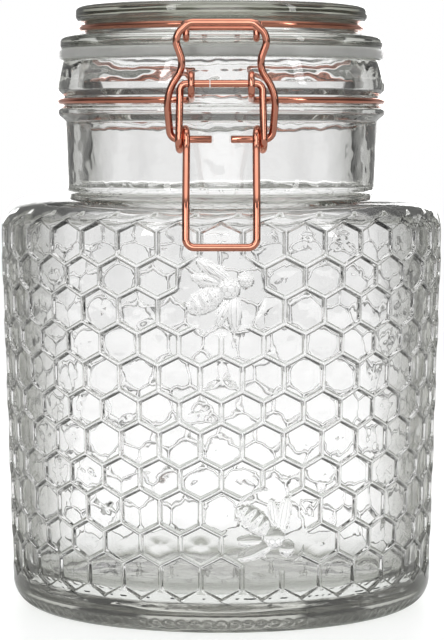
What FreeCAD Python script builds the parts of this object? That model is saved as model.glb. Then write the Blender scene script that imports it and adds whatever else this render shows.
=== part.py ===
import FreeCAD, Part
import Sketcher

import math
import os

# A clip-top glass jar.  The jar stands on Z = 0 with its axis on +Z.  The lever
# and the bail are at the front (-Y), the lid's hinge is at the back (+Y).
# Every length is in millimetres.  Heights above the shoulder are stacked on one
# another, so the neck, the lid and the wires follow the body when it changes.

SIZES = (
    # jar, outside, from the ground up
    ("body_radius", 68.8, "outside radius under the shoulder"),
    ("heel_radius", 65.4, "outside radius just above the heel"),
    ("heel_round", 8.5, "rounding of the heel"),
    ("foot_width", 4.5, "width of the flat ring the jar stands on"),
    ("foot_rise", 2.6, "how far the underside is pushed up"),
    ("taper_height", 114.0, "height where the taper ends"),
    ("band_height", 3.2, "straight band between taper and shoulder"),
    ("shoulder_round", 10.2, "radius of the shoulder"),
    ("shoulder_rise", 1.6, "rise of the slope from shoulder to neck"),
    ("neck_radius", 48.0, "outside radius of the neck at its foot"),
    ("neck_fillet", 2.2, "fillet between slope and neck"),
    ("neck_flare", 0.9, "how much wider the neck is at its head"),
    ("neck_height", 40.7, "from the end of the slope to the lip"),
    # jar, outside, from the lip down
    ("bead_reach", 3.25, "how far bead and mouth ring stand out from the neck"),
    ("bead_foot", 18.9, "lip to the head of the neck"),
    ("bead_low", 16.9, "lip to the bead's lower edge"),
    ("bead_high", 15.1, "lip to the bead's upper edge"),
    ("groove_low", 14.4, "lip to the lower side of the wire groove"),
    ("groove_high", 11.2, "lip to the upper side of the wire groove"),
    ("groove_depth", 1.9, "depth of the wire groove under the bead"),
    ("ring_low", 9.4, "lip to the mouth ring's lower edge"),
    ("ring_high", 7.3, "lip to where the mouth ring starts to taper"),
    ("lip_taper", 1.45, "how much narrower the lip is than the mouth ring"),
    ("lip_round", 0.9, "rounding of the lip's edges"),
    # jar, inside
    ("wall", 4.6, "wall of the body"),
    ("neck_wall", 3.6, "wall of the neck"),
    ("floor_height", 8.2, "inside floor above the ground"),
    ("floor_round", 9.0, "inside rounding at the floor"),
    # honeycomb relief
    ("relief", 1.0, "how far ribs and bees stand out"),
    ("rib_width", 1.9, "width of a rib"),
    ("cell_columns", 34, "cells around the jar"),
    ("cell_rows", 11, "rows of cells"),
    ("lowest_row", 17.2, "height of the middle of the lowest row"),
    ("top_row_drop", 2.0, "middle of the top row under the shoulder"),
    ("cell_tilt", 3.1, "rise of a cell's slanted sides"),
    ("row_shift", 0.7, "how much taller a tall row's walls are than a short row's"),
    ("bee_length", 22.0, "length of a bee"),
    # gasket
    ("gasket_height", 3.3, "height of the squeezed gasket"),
    ("gasket_overhang", 0.6, "how far the gasket stands out from the lip"),
    ("seat_play", 0.1, "play between gasket and lip"),
    # lid
    ("plug_play", 1.9, "play between the lid's plug and the mouth"),
    ("plug_wall", 4.0, "wall of the plug"),
    ("plug_drop", 4.4, "how far the plug reaches under the flange"),
    ("plug_clear", 0.3, "play between plug and gasket"),
    ("hollow_rise", 6.0, "hollow above the flange's underside"),
    ("hollow_round", 4.0, "rounding of the hollow"),
    ("flange_reach", 0.8, "how far the flange stands out from the lip"),
    ("flange_height", 4.0, "height of the flange"),
    ("flange_round", 1.8, "rounding of the flange's upper edge"),
    ("flange_edge", 0.6, "rounding of the flange's lower edge"),
    ("waist_inset", 7.95, "flange to the floor of the lid's wire groove"),
    ("waist_height", 4.1, "height of that groove"),
    ("disc_inset", 4.8, "flange to the edge of the top disc"),
    ("disc_height", 5.1, "height of the top disc"),
    ("disc_round", 1.7, "rounding of the top disc's edges"),
    # rings and hinge
    ("ring_gauge", 1.0, "radius of the wire of neck ring and lid ring"),
    ("ring_play", 0.05, "play between a ring and its groove"),
    ("bend_tight", 2.0, "bend radius where a ring leaves its groove"),
    ("hinge_play", 0.15, "play of the hinge eyes on their bar"),
    ("hinge_reach", 6.4, "hinge axis behind the flange"),
    ("hinge_drop", 8.7, "hinge axis under the lip"),
    ("hinge_half", 10.5, "half the length of the hinge bar"),
    ("eye_half", 6.5, "half the distance between the hinge eyes"),
    ("lid_ring_rise", 2.3, "lid ring above the flange"),
    ("nose_half", 10.3, "half the width of the lid ring's nose"),
    ("nose_play", 0.6, "play between the nose and the flange"),
    ("nose_bend", 1.15, "bend radius of the dips beside the nose"),
    ("nose_dip", 2.4, "lowest place of the dips under the flange's top"),
    ("nose_rise", 0.9, "nose bar above the flange"),
    # lever and bail
    ("clip_gauge", 1.1, "radius of the wire of lever and bail"),
    ("pivot_reach", 4.25, "pivot bar in front of the mouth ring"),
    ("pivot_drop", 8.2, "pivot bar under the lip"),
    ("pivot_half", 12.0, "half the length of the pivot bar"),
    ("seam_place", 3.3, "where the lever's two ends meet"),
    ("seam_gap", 0.3, "gap between those ends"),
    ("neck_eye_half", 8.75, "half the distance between the neck ring's eyes"),
    ("neck_eye_bend", 3.0, "radius of the neck ring's eyes"),
    ("coil_drop", 16.2, "coils under the pivot bar"),
    ("coil_bend", 3.1, "radius of the coils"),
    ("coil_outer", 12.5, "place of a coil's outer turn"),
    ("coil_inner", 10.2, "place of a coil's inner turn and of the grip below it"),
    ("knee_run", 0.6, "straight run between the coil and the grip's turn outwards"),
    ("knee_round", 5.0, "radius of that turn"),
    ("grip_lean", 1.3, "how much further out the lower bar is than the grip's bend"),
    ("grip_bend_rise", 9.8, "bend of the grip above the straight band's top"),
    ("grip_bend_round", 9.0, "radius of that bend"),
    ("grip_drop", 2.9, "lower bar under the straight band's top"),
    ("grip_play", 0.3, "play between the lower bar and the glass"),
    ("grip_corner", 2.5, "bend radius of the lever's lower corners"),
    ("bail_play", 2.25, "bail's bar in front of the nose bar"),
    ("bail_rise", 1.3, "bail's bar above the nose bar"),
    ("bail_stub", 2.8, "where the bail's ends stop"),
    ("bail_foot_round", 1.6, "bend radius at the bail's ends"),
    ("bail_side_round", 4.0, "bend radius at hip and waist"),
    ("bail_foot_half", 14.9, "half width of the bail at its ends"),
    ("bail_hip_half", 15.9, "half width of the bail at its widest"),
    ("bail_waist_half", 11.0, "half width of the bail at its waist"),
    ("bail_head_half", 13.6, "half width of the bail's head"),
    ("bail_bar_half", 9.4, "half length of the bail's bar"),
    ("bail_hip_share", 0.39, "height of the hip as a share of the bail"),
    ("bail_waist_share", 0.63, "height of the waist as a share of the bail"),
    ("bail_head_share", 0.89, "height of the head as a share of the bail"),
)

# Heights and radii that several pieces share, as sums of the sizes above.
BAND_TOP = "taper_height + band_height"
ARC_TOP = BAND_TOP + " + shoulder_round"
SLOPE_TOP = ARC_TOP + " + shoulder_rise"
LIP = SLOPE_TOP + " + neck_height"
MOUTH_RING = "neck_radius + bead_reach"
LIP_RADIUS = MOUTH_RING + " - lip_taper"
BORE = "neck_radius - neck_wall"
FLANGE = LIP_RADIUS + " + flange_reach"
FLANGE_BASE = LIP + " + seat_play + gasket_height"
FLANGE_TOP = FLANGE_BASE + " + flange_height"
DISC_BASE = FLANGE_TOP + " + waist_height"
LID_TOP = DISC_BASE + " + disc_height"
PLUG = BORE + " - plug_play"

AXIS = "axis"
GROUND = "ground"
INSIDE, OUTSIDE = 1, -1

document = FreeCAD.newDocument("ClipTopJar")
sheet = document.addObject("Spreadsheet::Sheet", "Sizes")
for row, (word, number, meaning) in enumerate(SIZES, start=1):
    sheet.set(f"A{row}", meaning)
    sheet.set(f"B{row}", str(number))
    sheet.setAlias(f"B{row}", word)
document.recompute()


def value(text):
    """The number that a sum of size words stands for, such as "wall + relief"."""
    total, sign = 0.0, 1.0
    for word in text.split():
        if word in ("+", "-"):
            sign = 1.0 if word == "+" else -1.0
        elif word not in (AXIS, GROUND):
            total += sign * getattr(sheet, word)
    return total


def formula(text):
    """The same sum as an expression that the document keeps up to date."""
    return " ".join(word if word in ("+", "-") else f"Sizes.{word}" for word in text.split())


def outline_sketch(body, outline):
    """A closed sketch in the XZ plane through corners (radius, height, bulge).

    The bulge is None for a straight run to the next corner, or (radius, side)
    for an arc, whose side is INSIDE where glass fills the arc's hollow side.
    """
    plane = next(item for item in body.Origin.OriginFeatures if item.Role == "XZ_Plane")
    sketch = body.newObject("Sketcher::SketchObject", body.Name + "Outline")
    sketch.AttachmentSupport = [(plane, "")]
    sketch.MapMode = "FlatFace"
    spots = [FreeCAD.Vector(value(x), value(z), 0) for x, z, _ in outline]
    pieces, starts = [], []
    for place, (_, _, bulge) in enumerate(outline):
        first, last = spots[place], spots[(place + 1) % len(spots)]
        if bulge is None:
            pieces.append(Part.LineSegment(first, last))
            starts.append(1)
            continue
        radius, side = value(bulge[0]), bulge[1]
        half = (last - first) * 0.5
        across = FreeCAD.Vector(-half.y, half.x, 0).normalize()
        centre = first + half + across * (side * math.sqrt(max(radius**2 - half.Length**2, 0.0)))
        circle = Part.Circle(centre, FreeCAD.Vector(0, 0, 1), radius)
        turns = [circle.parameter(spot) for spot in (first, last)][::side]
        pieces.append(Part.ArcOfCircle(circle, *turns))
        starts.append(1 if side == INSIDE else 2)
    sketch.addGeometry(pieces, False)
    for place, (x, z, bulge) in enumerate(outline):
        after = (place + 1) % len(outline)
        sketch.addConstraint(
            Sketcher.Constraint("Coincident", place, 3 - starts[place], after, starts[after])
        )
        for kind, words, line in (("DistanceX", x, -2), ("DistanceY", z, -1)):
            if words in (AXIS, GROUND):
                sketch.addConstraint(
                    Sketcher.Constraint("PointOnObject", place, starts[place], line)
                )
                continue
            rule = Sketcher.Constraint(kind, -1, 1, place, starts[place], value(words))
            number = sketch.addConstraint(rule)
            sketch.setExpression(f"Constraints[{number}]", formula(words))
        if bulge is not None:
            rule = Sketcher.Constraint("Radius", place, value(bulge[0]))
            number = sketch.addConstraint(rule)
            sketch.setExpression(f"Constraints[{number}]", formula(bulge[0]))
    return sketch


def turned_body(name, outline):
    """A body turned about the jar's axis from an outline."""
    body = document.addObject("PartDesign::Body", name)
    sketch = outline_sketch(body, outline)
    turning = body.newObject("PartDesign::Revolution", name + "Turning")
    turning.Profile = sketch
    turning.ReferenceAxis = (sketch, ["V_Axis"])
    turning.Angle = 360
    return body


def jar_blank():
    """The jar before its relief: heel, tapered body, shoulder, neck, mouth ring."""
    inner = "body_radius - wall"
    return turned_body("JarBlank", [
        (AXIS, "foot_rise", None),
        ("heel_radius - heel_round - foot_width", GROUND, None),
        ("heel_radius - heel_round", GROUND, ("heel_round", INSIDE)),
        ("heel_radius", "heel_round", None),
        ("body_radius", "taper_height", None),
        ("body_radius", BAND_TOP, ("shoulder_round", INSIDE)),
        ("body_radius - shoulder_round", ARC_TOP, None),
        ("neck_radius + neck_fillet", SLOPE_TOP, ("neck_fillet", OUTSIDE)),
        ("neck_radius", SLOPE_TOP + " + neck_fillet", None),
        ("neck_radius + neck_flare", LIP + " - bead_foot", None),
        (MOUTH_RING, LIP + " - bead_low", None),
        (MOUTH_RING, LIP + " - bead_high", None),
        (MOUTH_RING + " - groove_depth", LIP + " - groove_low", None),
        (MOUTH_RING + " - groove_depth", LIP + " - groove_high", None),
        (MOUTH_RING, LIP + " - ring_low", None),
        (MOUTH_RING, LIP + " - ring_high", None),
        (LIP_RADIUS, LIP + " - lip_round", ("lip_round", INSIDE)),
        (LIP_RADIUS + " - lip_round", LIP, None),
        (BORE + " + lip_round", LIP, ("lip_round", INSIDE)),
        (BORE, LIP + " - lip_round", None),
        (BORE, SLOPE_TOP, ("wall", INSIDE)),
        (BORE + " + wall", SLOPE_TOP + " - wall", None),
        ("body_radius - shoulder_round", ARC_TOP + " - wall", ("shoulder_round - wall", OUTSIDE)),
        (inner, BAND_TOP, None),
        (inner, "taper_height", None),
        ("heel_radius - wall", "floor_height + floor_round", ("floor_round", OUTSIDE)),
        ("heel_radius - wall - floor_round", "floor_height", None),
        (AXIS, "floor_height", None),
    ])


def lid_glass():
    """The lid: plug and flange below, a groove for its wire, the top disc."""
    disc, waist = FLANGE + " - disc_inset", FLANGE + " - waist_inset"
    hollow, ceiling = PLUG + " - plug_wall", FLANGE_BASE + " + hollow_rise"
    return turned_body("lid_glass", [
        (AXIS, ceiling, None),
        (hollow + " - hollow_round", ceiling, ("hollow_round", OUTSIDE)),
        (hollow, ceiling + " - hollow_round", None),
        (hollow, FLANGE_BASE + " - plug_drop", None),
        (PLUG, FLANGE_BASE + " - plug_drop", None),
        (PLUG, FLANGE_BASE, None),
        (FLANGE + " - flange_edge", FLANGE_BASE, ("flange_edge", INSIDE)),
        (FLANGE, FLANGE_BASE + " + flange_edge", None),
        (FLANGE, FLANGE_TOP + " - flange_round", ("flange_round", INSIDE)),
        (FLANGE + " - flange_round", FLANGE_TOP, None),
        (waist, FLANGE_TOP, None),
        (waist, DISC_BASE, None),
        (disc + " - disc_round", DISC_BASE, ("disc_round", INSIDE)),
        (disc, DISC_BASE + " + disc_round", None),
        (disc, LID_TOP + " - disc_round", ("disc_round", INSIDE)),
        (disc + " - disc_round", LID_TOP, None),
        (AXIS, LID_TOP, None),
    ])


def gasket():
    """The rubber ring that the clip squeezes between lid and lip."""
    bore, edge = PLUG + " + plug_clear", LIP_RADIUS + " + gasket_overhang"
    return turned_body("gasket", [
        (bore, LIP + " + seat_play", None),
        (edge, LIP + " + seat_play", None),
        (edge, FLANGE_BASE, None),
        (bore, FLANGE_BASE, None),
    ])


def radial_plug(angle, height, flat):
    """A flat shape (x around the jar, y up) made into a block across the wall."""
    reach = value("body_radius + wall")
    block = flat.extrude(FreeCAD.Vector(0, 0, reach))
    block.transformShape(FreeCAD.Matrix(1, 0, 0, 0, 0, 0, -1, 0, 0, 1, 0, height, 0, 0, 0, 1))
    block.rotate(FreeCAD.Vector(), FreeCAD.Vector(0, 0, 1), angle)
    return block


def cell_face(half_width, half_wall):
    """One cell between its ribs: upright sides and a pointed top and bottom."""
    tilt, inset = value("cell_tilt"), value("rib_width") / 2
    slope = tilt / half_width
    drop = inset * math.sqrt(1 + slope**2)
    side, corner = half_width - inset, half_wall + slope * inset - drop
    tip = half_wall + tilt - drop
    corners = [(side, -corner), (side, corner), (0, tip), (-side, corner), (-side, -corner), (0, -tip)]
    points = [FreeCAD.Vector(x, y, 0) for x, y in corners + corners[:1]]
    return Part.Face(Part.makePolygon(points))


def oval_face(along, across, long_half, short_half, turn):
    """An ellipse about (along, across) whose long half axis points to turn, in degrees."""
    if short_half > long_half:
        long_half, short_half, turn = short_half, long_half, turn + 90
    ellipse = Part.Ellipse(FreeCAD.Vector(), long_half, short_half)
    halves = [ellipse.toShape(start, start + math.pi) for start in (0, 0 + math.pi)]
    face = Part.Face(Part.Wire(halves))
    face.rotate(FreeCAD.Vector(), FreeCAD.Vector(0, 0, 1), turn)
    face.translate(FreeCAD.Vector(along, across, 0))
    return face


# A bee seen from above, heading along +x: place and half axes of each piece as
# shares of the bee's length, then the piece's turn in degrees.
BEE_PIECES = (
    (-0.24, 0.0, 0.27, 0.16, 0),
    (0.12, 0.0, 0.15, 0.15, 0),
    (0.36, 0.0, 0.11, 0.11, 0),
    (0.04, 0.30, 0.27, 0.10, 118),
    (-0.10, 0.24, 0.20, 0.08, 140),
    (0.04, -0.30, 0.27, 0.10, -118),
    (-0.10, -0.24, 0.20, 0.08, -140),
)
# Each bee: angle around the jar from the front, height, heading.
BEES = ((0.0, 101.0, 27.0), (12.0, 31.0, -40.0))
# Shares of a bee's length: the smooth field round it, and how near it no cell is pressed.
BEE_CLEARING = 0.6
BEE_FIELD = 0.66


def relief_skin():
    """The layer of glass, one relief deep, that the cells are pressed into."""
    far = value("body_radius + wall")
    inner = [
        FreeCAD.Vector(value("heel_radius - relief"), 0, 0),
        FreeCAD.Vector(value("heel_radius - relief"), 0, value("heel_round")),
        FreeCAD.Vector(value("body_radius - relief"), 0, value("taper_height")),
        FreeCAD.Vector(value("body_radius - relief"), 0, value(BAND_TOP)),
    ]
    middle = FreeCAD.Vector(value("body_radius - shoulder_round"), 0, value(BAND_TOP))
    circle = Part.Circle(middle, FreeCAD.Vector(0, -1, 0), value("shoulder_round - relief"))
    top = middle + FreeCAD.Vector(0, 0, value("shoulder_round - relief"))
    turns = sorted(circle.parameter(spot) for spot in (inner[-1], top))
    rest = [top, FreeCAD.Vector(far, 0, top.z), FreeCAD.Vector(far, 0, 0), inner[0]]
    edges = Part.makePolygon(inner).Edges + [circle.toShape(*turns)] + Part.makePolygon(rest).Edges
    outline = Part.Wire(Part.__sortEdges__(edges))
    return Part.Face(outline).revolve(FreeCAD.Vector(), FreeCAD.Vector(0, 0, 1), 360)


def honeycomb():
    """Every pocket between the ribs, with a smooth field round each bee."""
    columns, rows = round(value("cell_columns")), round(value("cell_rows"))
    low, high = value("lowest_row"), value(BAND_TOP + " - top_row_drop")
    pitch, step = (high - low) / (rows - 1), 360 / columns
    skin = relief_skin()
    bee_size = value("bee_length")
    tools = []
    for row in range(rows):
        height = low + pitch * row
        share = min(max((height - value("heel_round")) / value("taper_height - heel_round"), 0), 1)
        radius = value("heel_radius") + share * value("body_radius - heel_radius")
        tall = row % 2 == 0
        wall = pitch - value("cell_tilt") + (1 if tall else -1) * value("row_shift")
        face = cell_face(radius * math.tan(math.radians(step / 2)), wall / 2)
        pocket = radial_plug(0, height, face).common(skin)
        for column in range(columns):
            angle = step * (column if tall else column + 0.5)
            near_bee = False
            for place, level, _ in BEES:
                around = math.radians((angle - place + 180) % 360 - 180) * radius
                near_bee = near_bee or math.hypot(around, height - level) < bee_size * BEE_FIELD
            if near_bee:
                continue
            copy = pocket.copy()
            copy.rotate(FreeCAD.Vector(), FreeCAD.Vector(0, 0, 1), angle)
            tools.append(copy)
    for place, level, heading in BEES:
        field = radial_plug(place, level, oval_face(0, 0, bee_size * BEE_CLEARING, bee_size * BEE_CLEARING, 0))
        field = field.common(skin)
        for along, across, long_half, short_half, turn in BEE_PIECES:
            piece = oval_face(*(share * bee_size for share in (along, across, long_half, short_half)), turn)
            piece.rotate(FreeCAD.Vector(), FreeCAD.Vector(0, 0, 1), heading)
            field = field.cut(radial_plug(place, level, piece))
        tools.append(field)
    return tools


# Points nearer than this are one point.
TOUCH = 1e-4
# Arcs that a ring is made of on each side of the jar.
RING_STEPS = 4
# How much further out than its bends each ring leaves its groove.
LEAVE = 5.2


def bent_path(corners):
    """Straight runs joined by tangent arcs through corners (point, bend radius)."""
    points = [FreeCAD.Vector(*point) for point, _ in corners]
    edges, reached = [], points[0]
    for place in range(1, len(points) - 1):
        corner, bend = points[place], corners[place][1]
        into = (corner - points[place - 1]).normalize()
        onward = (points[place + 1] - corner).normalize()
        turn = into.getAngle(onward)
        reach = bend * math.tan(turn / 2)
        first, last = corner - into * reach, corner + onward * reach
        inward = (onward - into).normalize()
        middle = corner + inward * (bend / math.cos(turn / 2) - bend)
        if (first - reached).Length > TOUCH:
            edges.append(Part.makeLine(reached, first))
        edges.append(Part.Arc(first, middle, last).toShape())
        reached = last
    if (points[-1] - reached).Length > TOUCH:
        edges.append(Part.makeLine(reached, points[-1]))
    return Part.Wire(edges)


def mirrored(half):
    """Half a wire followed by its mirror image in the plane X = 0."""
    return half + [((-x, y, z), bend) for (x, y, z), bend in reversed(half)]


def wire_piece(name, gauge, path):
    """A round wire of the named gauge along a path."""
    route = document.addObject("Part::Feature", name + "_route")
    route.Shape = path
    section = document.addObject("Part::Circle", name + "_section")
    section.setExpression("Radius", formula(gauge))
    edge = path.OrderedEdges[0]
    start, heading = path.OrderedVertexes[0].Point, edge.tangentAt(edge.FirstParameter)
    turn = FreeCAD.Rotation(FreeCAD.Vector(0, 0, 1), heading)
    section.Placement = FreeCAD.Placement(start, turn)
    sweep = document.addObject("Part::Sweep", name)
    sweep.Sections = [section]
    sweep.Spine = (route, [f"Edge{number + 1}" for number in range(len(path.Edges))])
    sweep.Solid = True
    sweep.Frenet = False
    return sweep


def ring_corners(radius, height, front_x, back_x):
    """Corners that carry a wire round the left half of a ring, front to back.

    The wire leaves the ring along its tangents at x = -front_x and x = -back_x.
    """
    start = -math.pi / 2 - math.asin(front_x / radius)
    stop = -3 * math.pi / 2 + math.asin(back_x / radius)
    step = (stop - start) / RING_STEPS
    far = radius / math.cos(step / 2)
    angles = [start + step * (place + 0.5) for place in range(RING_STEPS)]
    return [((far * math.cos(a), far * math.sin(a), height), radius) for a in angles]


def tangent_reach(radius, leave_x, x):
    """How far out the tangent at x = leave_x is when it comes to x."""
    lean = math.asin(leave_x / radius)
    return radius * math.cos(lean) + (leave_x - x) * math.tan(lean)


NECK_RING = value(MOUTH_RING + " - groove_depth + ring_play + ring_gauge")
NECK_RING_HEIGHT = value(LIP) - (value("groove_low") + value("groove_high")) / 2
LID_RING = value(FLANGE + " - waist_inset + ring_play + ring_gauge")
LID_RING_HEIGHT = value(FLANGE_TOP + " + lid_ring_rise")
HINGE = (value(FLANGE + " + hinge_reach"), value(LIP + " - hinge_drop"))
PIVOT = (-value(MOUTH_RING + " + pivot_reach"), value(LIP + " - pivot_drop"))
COIL = (PIVOT[0] + value("coil_bend"), PIVOT[1] - value("coil_drop"))
NOSE_INNER = -math.sqrt(value(FLANGE + " + nose_play + ring_gauge") ** 2 - value("nose_half") ** 2)
NOSE = (NOSE_INNER - 2 * value("nose_bend"), value(FLANGE_TOP + " + nose_rise"))
BAIL_BAR = (NOSE[0] - value("bail_play"), NOSE[1] + value("bail_rise"))


def neck_wire():
    """The neck ring: eyes round the pivot bar in front, the hinge bar behind."""
    x, eye = -value("neck_eye_half"), value("neck_eye_bend")
    tight, bar_x = value("bend_tight"), -value("hinge_half")
    y, z = PIVOT
    half = [
        ((x, y + eye, z), 0),
        ((x, y + eye, z + eye), eye),
        ((x, y - eye, z + eye), eye),
        ((x, y - eye, z - eye), eye),
        ((x, -tangent_reach(NECK_RING, LEAVE - x, -x), NECK_RING_HEIGHT), tight),
    ]
    half += ring_corners(NECK_RING, NECK_RING_HEIGHT, LEAVE - x, LEAVE - bar_x)
    back = tangent_reach(NECK_RING, LEAVE - bar_x, -bar_x)
    half += [((bar_x, back, NECK_RING_HEIGHT), tight), ((bar_x, *HINGE), tight)]
    return wire_piece("neck_wire", "ring_gauge", bent_path(mirrored(half)))


def lid_wire():
    """The lid ring: eyes round the hinge bar behind, the nose in front."""
    x, eye = -value("eye_half"), value("ring_gauge + ring_gauge + hinge_play")
    tight, dip = value("bend_tight"), value("nose_bend")
    nose_x, level, low = -value("nose_half"), LID_RING_HEIGHT, value(FLANGE_TOP + " - nose_dip")
    y, z = HINGE
    half = [
        ((nose_x, *NOSE), dip),
        ((nose_x, NOSE[0], low), dip),
        ((nose_x, NOSE_INNER, low), dip),
        ((nose_x, NOSE_INNER, level), dip),
        ((nose_x, -tangent_reach(LID_RING, LEAVE - nose_x, -nose_x), level), tight),
    ]
    half += ring_corners(LID_RING, level, LEAVE - nose_x, LEAVE - x)
    half += [
        ((x, tangent_reach(LID_RING, LEAVE - x, -x), level), tight),
        ((x, y - eye, level), tight),
        ((x, y - eye, z - eye), eye),
        ((x, y + eye, z - eye), eye),
        ((x, y + eye, z + eye), eye),
        ((x, y, z + eye), 0),
    ]
    return wire_piece("lid_wire", "ring_gauge", bent_path(mirrored(half[::-1])))


def lever_wire():
    """The lever: pivot bar, a coil on each side round the bail's ends, the grip."""
    bend, outer, inner = value("coil_bend"), -value("coil_outer"), -value("coil_inner")
    shift = (inner - outer) / 3
    y, z = COIL
    low_y = -value("body_radius + clip_gauge + grip_play")
    low_z, bend_z = value(BAND_TOP + " - grip_drop"), value(BAND_TOP + " + grip_bend_rise")
    # The grip's turn outwards starts where the run under the coil ends; tip is the
    # tangent of half that turn, which points it at the grip's bend.
    knee_round, bend_y = value("knee_round"), low_y + value("grip_lean")
    out, down = y - bend - bend_y, z - value("knee_run") - bend_z
    tip = out / (down + math.sqrt(down**2 + out**2 - 2 * knee_round * out))
    half = [
        ((-value("pivot_half"), *PIVOT), value("bend_tight")),
        ((outer, y - bend, z - bend), bend),
        ((outer + shift, y + bend, z - bend), bend),
        ((inner - shift, y + bend, z + bend), bend),
        ((inner, y - bend, z + bend), bend),
        ((inner, y - bend, z - value("knee_run") - knee_round * tip), knee_round),
        ((inner, bend_y, bend_z), value("grip_bend_round")),
        ((inner, low_y, low_z), value("grip_corner")),
    ]
    seam, gap = -value("seam_place"), value("seam_gap") / 2
    corners = [((seam - gap, *PIVOT), 0)] + mirrored(half) + [((seam + gap, *PIVOT), 0)]
    return wire_piece("lever_wire", "clip_gauge", bent_path(corners))


def bail_wire():
    """The bail: its ends sit in the lever's coils, its bar catches the lid's nose."""
    rise, lean = BAIL_BAR[1] - COIL[1], BAIL_BAR[0] - COIL[0]

    def side(half_width, share, bend):
        return ((-value(half_width), COIL[0] + lean * share, COIL[1] + rise * share), bend)

    wide, small = value("bail_side_round"), value("bend_tight")
    half = [
        side("bail_stub", 0, 0),
        side("bail_foot_half", 0, value("bail_foot_round")),
        side("bail_hip_half", value("bail_hip_share"), wide),
        side("bail_waist_half", value("bail_waist_share"), wide),
        side("bail_head_half", value("bail_head_share"), small),
        side("bail_bar_half", 1, small),
    ]
    return wire_piece("bail_wire", "clip_gauge", bent_path(mirrored(half)))


def jar_glass():
    """The jar with its honeycomb and bees pressed in."""
    pockets = document.addObject("Part::Feature", "Pockets")
    pockets.Shape = Part.makeCompound(honeycomb())
    jar = document.addObject("Part::Cut", "jar_glass")
    jar.Base = jar_blank()
    jar.Tool = pockets
    jar.Refine = False
    return jar


def write_parts(pieces):
    """Check the document and each piece, then write each piece to its file."""
    document.recompute()
    for item in document.Objects:
        if {"Invalid", "Error"} & set(item.State):
            raise RuntimeError(f"{item.Name} did not build: {item.State}")
    os.makedirs("parts", exist_ok=True)
    for piece in pieces:
        shape = piece.Shape
        if shape.isNull() or not shape.isValid() or len(shape.Solids) != 1:
            raise RuntimeError(f"{piece.Name} is not one valid solid")
        piece.Label = piece.Name
        shape.exportStep(f"parts/{piece.Name}.step")
        print(f"{piece.Name}: {shape.Volume / 1000:.2f} cm3")


write_parts([
    jar_glass(), neck_wire(), lid_glass(), gasket(), lid_wire(), lever_wire(), bail_wire(),
])
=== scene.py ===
import math

import bpy
import numpy as np
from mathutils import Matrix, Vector


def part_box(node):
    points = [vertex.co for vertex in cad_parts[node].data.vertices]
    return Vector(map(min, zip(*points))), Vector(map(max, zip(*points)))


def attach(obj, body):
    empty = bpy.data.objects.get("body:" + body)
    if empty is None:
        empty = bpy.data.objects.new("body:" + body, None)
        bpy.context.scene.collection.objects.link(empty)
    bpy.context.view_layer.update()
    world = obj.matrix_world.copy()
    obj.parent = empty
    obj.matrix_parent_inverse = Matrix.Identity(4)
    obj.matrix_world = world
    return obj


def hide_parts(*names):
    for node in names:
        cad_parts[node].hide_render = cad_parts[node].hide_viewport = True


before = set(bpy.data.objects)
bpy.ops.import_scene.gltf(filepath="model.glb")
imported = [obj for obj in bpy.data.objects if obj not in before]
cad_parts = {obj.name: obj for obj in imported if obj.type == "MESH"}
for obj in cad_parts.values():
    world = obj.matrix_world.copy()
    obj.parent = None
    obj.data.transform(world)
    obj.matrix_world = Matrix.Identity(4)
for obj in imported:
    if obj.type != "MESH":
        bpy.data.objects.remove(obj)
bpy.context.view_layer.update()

MM = 0.001

# ---- sizes, read from the frame where the frame holds them -------------------

JAR_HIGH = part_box("jar_glass")[1]
LID_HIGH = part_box("lid_glass")[1]
GASKET_LOW, GASKET_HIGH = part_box("gasket")

BODY_RADIUS = JAR_HIGH[0]
LIP = JAR_HIGH[2]
LID_TOP = LID_HIGH[2]
FLANGE_RADIUS = LID_HIGH[0]
FLANGE_BASE = GASKET_HIGH[2]
GASKET_RADIUS = GASKET_HIGH[0]

# The jar's outline: radii step in from the body, heights step down from the lip.
HEEL_RADIUS = BODY_RADIUS - 3.4 * MM
NECK_RADIUS = BODY_RADIUS - 20.8 * MM
MOUTH_RING = NECK_RADIUS + 3.25 * MM
LIP_RADIUS = MOUTH_RING - 1.45 * MM
BORE = NECK_RADIUS - 3.6 * MM
PLUG = BORE - 1.9 * MM
WALL = 4.6 * MM
TAPER_FOOT = 8.5 * MM
TAPER_TOP = LIP - 55.7 * MM
BAND_TOP = TAPER_TOP + 3.2 * MM
SHOULDER_ROUND = 10.2 * MM
SLOPE_TOP = LIP - 40.7 * MM
INSIDE_FLOOR = 8.2 * MM

# The honeycomb: cells round the jar and up it, and how deep they are pressed.
RELIEF = 1.0 * MM
COLUMNS = 34
ROWS = 11
LOWEST_ROW = 17.2 * MM
ROW_PITCH = (BAND_TOP - 2.0 * MM - LOWEST_ROW) / (ROWS - 1)
CELL_TILT = 3.1 * MM
ROW_SHIFT = 0.7 * MM

# Mesh points along a cell's slanted and upright walls, and round the jar's rings.
SLANT_STEPS, SIDE_STEPS = 4, 4
AROUND_COARSE = 2 * SLANT_STEPS * COLUMNS
AROUND_FINE = 3 * AROUND_COARSE
AROUND_TURNED = 256
AROUND_WIRE = 20
AROUND_FLOOR = 96
SHOULDER_STEPS = 5
# A point of an outline that is nearer to the axis than this lies on it.
ON_AXIS = 1e-6

# The small notches round the heel.
NOTCHES = 3 * COLUMNS
NOTCH_DEPTH = 0.5 * MM
NOTCH_LEVEL = 3.2 * MM
NOTCH_SPREAD = 1.1 * MM

# A rib's half width at its flat crest, the width of its side, how much its crest is
# hollowed, and the range of the cell floors' bulge, as shares of the relief.
RIB_CREST = 0.42 * MM
RIB_SIDE = 0.5 * MM
RIB_CROWN = 0.22
PILLOW = (-0.1, 0.22)

# Each bee: degrees round the jar from the front, height in metres, heading in degrees.
BEES = ((0.0, 0.101, 27.0), (12.0, 0.031, -40.0))
BEE_LENGTH = 22 * MM
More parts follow.
